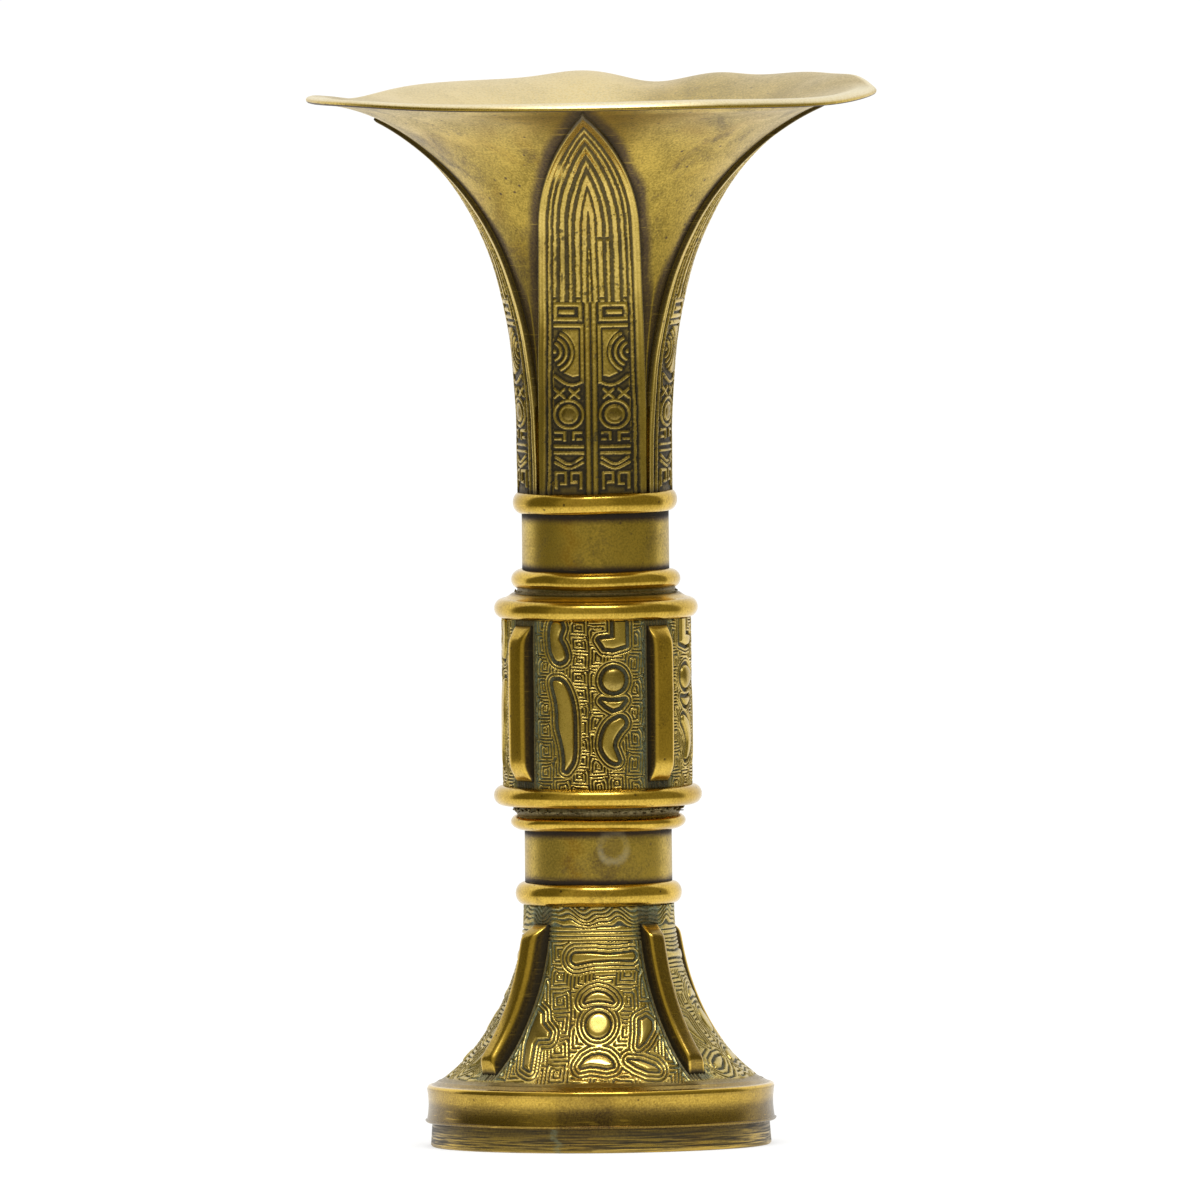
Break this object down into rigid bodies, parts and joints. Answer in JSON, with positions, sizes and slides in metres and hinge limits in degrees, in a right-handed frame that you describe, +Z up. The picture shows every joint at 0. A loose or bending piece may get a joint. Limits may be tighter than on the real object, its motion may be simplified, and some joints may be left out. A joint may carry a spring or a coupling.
{
  "type": "bronze gu vase",
  "caption": "Tall beaker vase with a flaring mouth, leaf blades on the neck, a flanged knop with mask relief and a spreading flanged foot on a moulded base.",
  "frame": {"origin": "middle of the standing face under the foot ring", "axes": "+Z up along the axis of the vase, -Y towards the front, +X to the right of the front view"},
  "size_m": [0.1428, 0.1428, 0.2634],
  "materials": {
    "satin_brass": "satin cast brass with handling stains and scratches",
    "polished_brass": "polished brass with dark patina left in the corners",
    "chased_brass": "chased relief with grey-green patina in the ground and worn high points",
    "base_brass": "brushed and darkened brass",
    "solder": "dark rough solder",
    "inner_brass": "dull cast brass"
  },
  "bodies": {
    "root": {"trumpet_neck": "satin_brass", "upper_collar": "satin_brass", "lower_collar": "satin_brass", "neck_bead": "polished_brass", "upper_collar_bead": "polished_brass", "lower_collar_bead": "polished_brass", "foot_bead": "polished_brass", "knop_upper_ring": "polished_brass", "knop_lower_ring": "polished_brass", "foot_plinth": "polished_brass", "knop_flange_front_right": "polished_brass", "knop_flange_back_right": "polished_brass", "knop_flange_back_left": "polished_brass", "knop_flange_front_left": "polished_brass", "foot_flange_front_right": "polished_brass", "foot_flange_back_right": "polished_brass", "foot_flange_back_left": "polished_brass", "foot_flange_front_left": "polished_brass", "knop_drum": "chased_brass", "foot_cone": "chased_brass", "neck_blade_front": "chased_brass", "neck_blade_right": "chased_brass", "neck_blade_back": "chased_brass", "neck_blade_left": "chased_brass", "foot_ring": "base_brass", "upper_solder_seam": "solder", "lower_solder_seam": "solder", "cup_floor": "inner_brass"}
  },
  "joints": []
}
